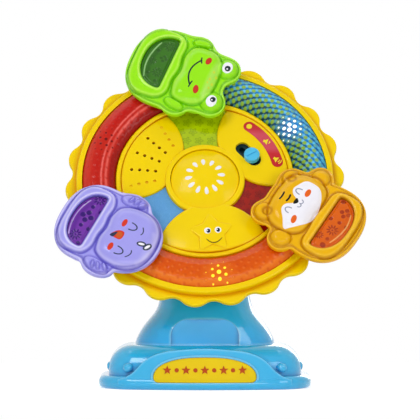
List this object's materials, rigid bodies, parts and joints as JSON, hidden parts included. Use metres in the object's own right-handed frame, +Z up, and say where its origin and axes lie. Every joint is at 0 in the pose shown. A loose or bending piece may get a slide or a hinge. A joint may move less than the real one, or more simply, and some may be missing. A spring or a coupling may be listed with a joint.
{
  "type": "tabletop ferris wheel toy",
  "caption": "Reclined toy wheel with scalloped rim on a flared neck and base, with swivelling animal gondolas, push button and slide switch.",
  "frame": {"origin": "on the surface it stands on, under the middle of the base", "axes": "+X to the right seen from the front, +Y away from the front, +Z up; the wheel faces -Y and up"},
  "size_m": [0.2166, 0.1177, 0.2513],
  "materials": {
    "sky_blue_plastic": "glossy moulded plastic, sky blue",
    "neck_blue_plastic": "glossy moulded plastic, sky blue",
    "yellow_plastic": "glossy moulded plastic, sunny yellow",
    "nameplate_yellow": "glossy printed label, yellow",
    "red_clear_plastic": "transparent tinted plastic, red",
    "orange_clear_plastic": "transparent tinted plastic, orange",
    "blue_clear_plastic": "transparent tinted plastic, blue",
    "green_clear_plastic": "transparent tinted plastic, olive green",
    "pale_blue_clear_plastic": "transparent tinted plastic, pale blue",
    "dark_red_clear_plastic": "transparent tinted plastic, dark red",
    "lime_plastic": "glossy moulded plastic, lime green",
    "lavender_plastic": "glossy moulded plastic, lavender",
    "amber_plastic": "glossy moulded plastic, amber",
    "dark_green_clear": "transparent tinted plastic, dark green",
    "purple_clear": "transparent tinted plastic, purple",
    "deep_orange_clear": "transparent tinted plastic, deep orange",
    "knob_blue_plastic": "glossy moulded plastic, sky blue",
    "label_red": "glossy printed label, red",
    "dark_plastic": "matt dark teal plastic",
    "black_plastic": "matt black plastic",
    "board_green": "solder-masked circuit board",
    "led_clear": "clear lamp plastic",
    "rubber": "matt rubber",
    "steel": "plated steel",
    "spring_steel": "spring steel",
    "battery_wrap": "printed battery sleeve",
    "bush_plastic": "natural acetal"
  },
  "bodies": {
    "base": {"base_plinth": "sky_blue_plastic", "nameplate": "nameplate_yellow", "base_bottom_plate": "sky_blue_plastic", "rubber_feet": "rubber", "base_screws": "steel", "neck_front_shell": "neck_blue_plastic", "neck_rear_shell": "neck_blue_plastic", "neck_screws": "steel", "hub_bush": "bush_plastic"},
    "wheel": {"wheel_front_shell": "yellow_plastic", "wheel_rear_shell": "yellow_plastic", "rear_shell_screws": "steel", "wheel_axle": "steel", "axle_retainer": "steel", "blue_ring_window": "blue_clear_plastic", "red_ring_window": "red_clear_plastic", "orange_ring_window": "orange_clear_plastic", "green_web_window": "green_clear_plastic", "blue_web_window": "pale_blue_clear_plastic", "red_web_window": "dark_red_clear_plastic", "button_bezel": "black_plastic", "button_spring": "spring_steel", "button_switch": "black_plastic", "circuit_board": "board_green", "led_boards": "board_green", "leds": "led_clear", "speaker": "black_plastic", "slide_switch": "dark_plastic", "switch_label": "label_red", "battery_door": "yellow_plastic", "battery_door_screw": "steel", "batteries": "battery_wrap", "battery_contacts": "spring_steel", "gondola_pivot_pins": "steel", "gondola_retainers": "steel"},
    "button": {"button_cap": "yellow_plastic"},
    "knob": {"switch_knob": "knob_blue_plastic"},
    "frog": {"frog_front": "lime_plastic", "frog_back": "lime_plastic", "frog_window": "dark_green_clear", "frog_screws": "steel"},
    "bird": {"bird_front": "lavender_plastic", "bird_back": "lavender_plastic", "bird_window": "purple_clear", "bird_screws": "steel"},
    "bear": {"bear_front": "amber_plastic", "bear_back": "amber_plastic", "bear_window": "deep_orange_clear", "bear_screws": "steel"}
  },
  "joints": [
    {"name": "wheel_spin", "type": "hinge", "parent": "base", "child": "wheel", "pos_m": [0, -0.01, 0.145], "axis": [0, -0.8572, 0.515], "continuous": true},
    {"name": "frog_swivel", "type": "hinge", "parent": "wheel", "child": "frog", "pos_m": [-0.00805, 0.02224, 0.21497], "axis": [0, -0.8572, 0.515], "continuous": true},
    {"name": "bird_swivel", "type": "hinge", "parent": "wheel", "child": "bird", "pos_m": [-0.06229, -0.04051, 0.11053], "axis": [0, -0.8572, 0.515], "continuous": true},
    {"name": "bear_swivel", "type": "hinge", "parent": "wheel", "child": "bear", "pos_m": [0.07034, -0.03333, 0.12248], "axis": [0, -0.8572, 0.515], "continuous": true},
    {"name": "button_press", "type": "slide", "parent": "wheel", "child": "button", "axis": [0, 0.8572, -0.515], "range_m": [0, 0.003], "stiffness_N_per_m": 350, "springref_m": -0.0006, "deforming": ["button_spring"]},
    {"name": "switch_slide", "type": "slide", "parent": "wheel", "child": "knob", "axis": [0.6691, -0.3827, -0.637], "range_m": [-0.0105, 0.0035]}
  ]
}
